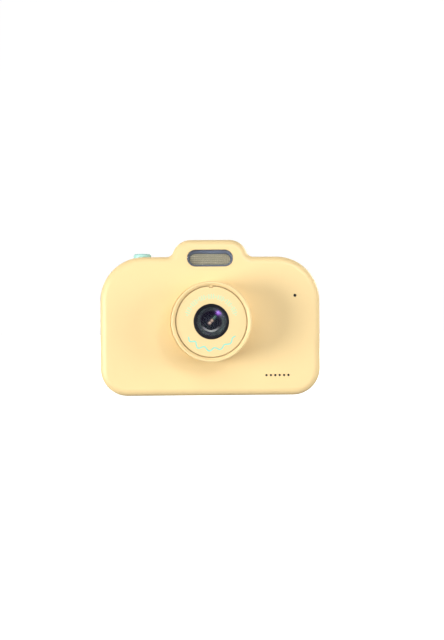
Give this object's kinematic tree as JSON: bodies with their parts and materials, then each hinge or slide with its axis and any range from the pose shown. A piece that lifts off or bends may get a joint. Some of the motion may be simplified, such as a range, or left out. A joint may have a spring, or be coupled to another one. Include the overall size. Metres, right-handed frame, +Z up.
{
  "type": "kids digital camera",
  "caption": "Butter yellow toy camera with a stout round lens barrel, stadium flash window, mint shutter button, rear screen and key pad.",
  "frame": {"origin": "middle of the flat base, under the middle of the body's depth", "axes": "+Z up; the lens looks along -Y; +X on the right of a person who faces the lens"},
  "size_m": [0.088, 0.0384, 0.0624],
  "materials": {
    "cream_plastic": "satin moulded butter yellow",
    "mint_plastic": "satin moulded mint",
    "black_plastic": "moulded black",
    "slate_plastic": "moulded slate blue",
    "clear_glass": "clear",
    "screen_glass": "dark tinted",
    "flash_lens": "ribbed translucent",
    "amber_phosphor": "phosphor coated",
    "green_board": "solder mask",
    "black_resin": "moulded resin",
    "sensor_silicon": "polished",
    "red_filter": "coated",
    "flex_film": "polyimide film",
    "silver_metal": "pressed sheet",
    "screw_steel": "zinc plated",
    "battery_foil": "laminated foil",
    "foam": "closed cell foam",
    "silicone": "moulded silicone",
    "port_rubber": "soft butter yellow",
    "red_insulation": "wire insulation",
    "black_insulation": "wire insulation",
    "white_nylon": "moulded nylon"
  },
  "bodies": {
    "case": {"front_shell": "cream_plastic", "rear_shell": "cream_plastic", "lens_barrel": "cream_plastic", "lens_trim_disc": "cream_plastic", "lens_bezel": "black_plastic", "lens_baffle": "black_plastic", "iris_plate": "black_plastic", "lens_tube": "black_plastic", "sensor_housing": "black_plastic", "lcd_frame": "black_plastic", "speaker": "black_plastic", "flash_reflector": "slate_plastic", "front_glass": "clear_glass", "inner_lens": "clear_glass", "flash_window": "clear_glass", "screen_window": "screen_glass", "flash_diffuser": "flash_lens", "flash_led_left": "amber_phosphor", "flash_led_right": "amber_phosphor", "flash_board": "green_board", "sensor_board": "green_board", "main_board": "green_board", "processor_chip": "black_resin", "memory_chip": "black_resin", "lcd_panel": "black_resin", "shutter_switch": "black_resin", "image_sensor": "sensor_silicon", "ir_filter": "red_filter", "sensor_flex": "flex_film", "lcd_flex": "flex_film", "usb_socket": "silver_metal", "card_socket": "silver_metal", "microphone": "silver_metal", "lanyard_bar": "screw_steel", "shell_screw_top_left": "screw_steel", "shell_screw_top_right": "screw_steel", "shell_screw_base_left": "screw_steel", "shell_screw_base_right": "screw_steel", "board_screw_top": "screw_steel", "board_screw_base": "screw_steel", "battery_cell": "battery_foil", "battery_pad": "foam", "speaker_gasket": "foam", "microphone_boot": "foam", "screen_gasket": "foam", "key_mat": "silicone", "battery_lead_red": "red_insulation", "battery_lead_black": "black_insulation", "battery_connector": "white_nylon"},
    "shutter": {"shutter_button": "mint_plastic", "shutter_plunger": "black_plastic"},
    "port_cover": {"port_cover": "port_rubber"},
    "key_up": {"key_up": "mint_plastic"},
    "key_down": {"key_down": "mint_plastic"},
    "key_left": {"key_left": "mint_plastic"},
    "key_right": {"key_right": "mint_plastic"},
    "key_ok": {"key_ok": "mint_plastic"},
    "mode_button": {"mode_button": "mint_plastic"},
    "power_button": {"power_button": "mint_plastic"},
    "playback_button": {"playback_button": "mint_plastic"}
  },
  "joints": [
    {"name": "shutter_press", "type": "slide", "parent": "case", "child": "shutter", "axis": [0, 0, -1], "range_m": [0, 0.0008], "stiffness_N_per_m": 400},
    {"name": "port_cover_hinge", "type": "hinge", "parent": "case", "child": "port_cover", "pos_m": [0.044, -0.0062, 0.02475], "axis": [0, 0, -1], "range_deg": [0, 110]},
    {"name": "key_up_press", "type": "slide", "parent": "case", "child": "key_up", "axis": [0, -1, 0], "range_m": [0, 0.0005], "stiffness_N_per_m": 400},
    {"name": "key_down_press", "type": "slide", "parent": "case", "child": "key_down", "axis": [0, -1, 0], "range_m": [0, 0.0005], "stiffness_N_per_m": 400},
    {"name": "key_left_press", "type": "slide", "parent": "case", "child": "key_left", "axis": [0, -1, 0], "range_m": [0, 0.0005], "stiffness_N_per_m": 400},
    {"name": "key_right_press", "type": "slide", "parent": "case", "child": "key_right", "axis": [0, -1, 0], "range_m": [0, 0.0005], "stiffness_N_per_m": 400},
    {"name": "key_ok_press", "type": "slide", "parent": "case", "child": "key_ok", "axis": [0, -1, 0], "range_m": [0, 0.0005], "stiffness_N_per_m": 400},
    {"name": "mode_button_press", "type": "slide", "parent": "case", "child": "mode_button", "axis": [0, -1, 0], "range_m": [0, 0.0005], "stiffness_N_per_m": 400},
    {"name": "power_button_press", "type": "slide", "parent": "case", "child": "power_button", "axis": [0, -1, 0], "range_m": [0, 0.0005], "stiffness_N_per_m": 400},
    {"name": "playback_button_press", "type": "slide", "parent": "case", "child": "playback_button", "axis": [0, -1, 0], "range_m": [0, 0.0005], "stiffness_N_per_m": 400}
  ]
}
